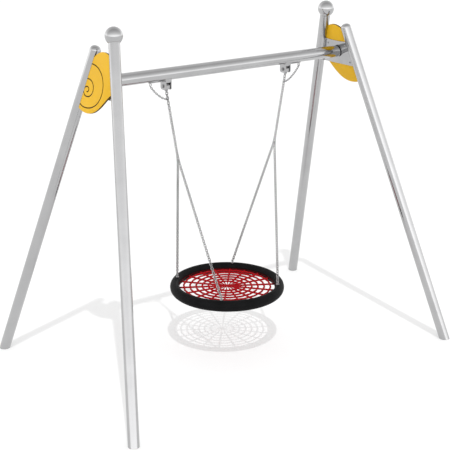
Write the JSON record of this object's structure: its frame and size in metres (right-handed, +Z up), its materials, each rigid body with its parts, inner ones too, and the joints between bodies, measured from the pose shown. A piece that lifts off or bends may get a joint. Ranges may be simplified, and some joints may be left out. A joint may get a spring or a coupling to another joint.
{
  "type": "nest swing set",
  "caption": "Nest swing with leaning stainless tube frames, a beam, chain hangers with safety chains, a round net seat and yellow side panels.",
  "frame": {"origin": "on the ground, under the middle of the seat", "axes": "+X along the beam, +Y the way the seat swings, +Z up"},
  "size_m": [3.3842, 2.2398, 2.9288],
  "materials": {
    "stainless_steel": "ground and polished stainless tube",
    "chain_steel": "bright short-link chain",
    "bolt_steel": "plain stainless fasteners",
    "yellow_board": "satin polyethylene board",
    "black_rubber": "matte moulded rubber",
    "grey_nylon": "plain bearing nylon",
    "red_rope": "braided rope"
  },
  "bodies": {
    "frame": {"beam": "stainless_steel", "left_ball_leg": "stainless_steel", "left_dome_leg": "stainless_steel", "left_ball_cap": "stainless_steel", "left_dome_cap": "stainless_steel", "left_gusset": "stainless_steel", "left_beam_end_plate": "stainless_steel", "left_hanger": "stainless_steel", "left_safety_bar": "stainless_steel", "left_safety_eye": "stainless_steel", "left_panel_bolt_upper_ball_side": "bolt_steel", "left_panel_bolt_upper_dome_side": "bolt_steel", "left_panel_bolt_lower_ball_side": "bolt_steel", "left_panel_bolt_lower_dome_side": "bolt_steel", "left_beam_bolt": "bolt_steel", "left_pivot_bolt": "bolt_steel", "left_pivot_nut": "bolt_steel", "left_safety_chain": "chain_steel", "left_panel": "yellow_board", "left_beam_gasket": "black_rubber", "left_pivot_bush": "grey_nylon", "right_ball_leg": "stainless_steel", "right_dome_leg": "stainless_steel", "right_ball_cap": "stainless_steel", "right_dome_cap": "stainless_steel", "right_gusset": "stainless_steel", "right_beam_end_plate": "stainless_steel", "right_hanger": "stainless_steel", "right_safety_bar": "stainless_steel", "right_safety_eye": "stainless_steel", "right_panel_bolt_upper_ball_side": "bolt_steel", "right_panel_bolt_upper_dome_side": "bolt_steel", "right_panel_bolt_lower_ball_side": "bolt_steel", "right_panel_bolt_lower_dome_side": "bolt_steel", "right_beam_bolt": "bolt_steel", "right_pivot_bolt": "bolt_steel", "right_pivot_nut": "bolt_steel", "right_safety_chain": "chain_steel", "right_panel": "yellow_board", "right_beam_gasket": "black_rubber", "right_pivot_bush": "grey_nylon"},
    "left_chain": {"left_swing_block": "stainless_steel", "left_upper_chain": "chain_steel", "left_split_ring": "chain_steel"},
    "right_chain": {"right_swing_block": "stainless_steel", "right_upper_chain": "chain_steel", "right_split_ring": "chain_steel"},
    "seat": {"rim_core": "stainless_steel", "rim_cover": "black_rubber", "net": "red_rope", "left_front_chain": "chain_steel", "left_rear_chain": "chain_steel", "left_front_anchor": "bolt_steel", "left_rear_anchor": "bolt_steel", "right_front_chain": "chain_steel", "right_rear_chain": "chain_steel", "right_front_anchor": "bolt_steel", "right_rear_anchor": "bolt_steel"}
  },
  "joints": [
    {"name": "left_swing", "type": "hinge", "parent": "frame", "child": "left_chain", "pos_m": [-0.611, 0, 2.4], "axis": [1, 0, 0], "range_deg": [-60, 60], "deforming": ["left_safety_chain"]},
    {"name": "right_swing", "type": "hinge", "parent": "frame", "child": "right_chain", "pos_m": [0.611, 0, 2.4], "axis": [1, 0, 0], "range_deg": [-60, 60], "deforming": ["right_safety_chain"]},
    {"name": "seat_pitch", "type": "hinge", "parent": "left_chain", "child": "seat", "pos_m": [-0.50505, 0, 1.783], "axis": [1, 0, 0], "range_deg": [-20, 20]}
  ],
  "couplings": [
    {"joint": "right_swing", "follows": "left_swing", "ratio": 1}
  ]
}
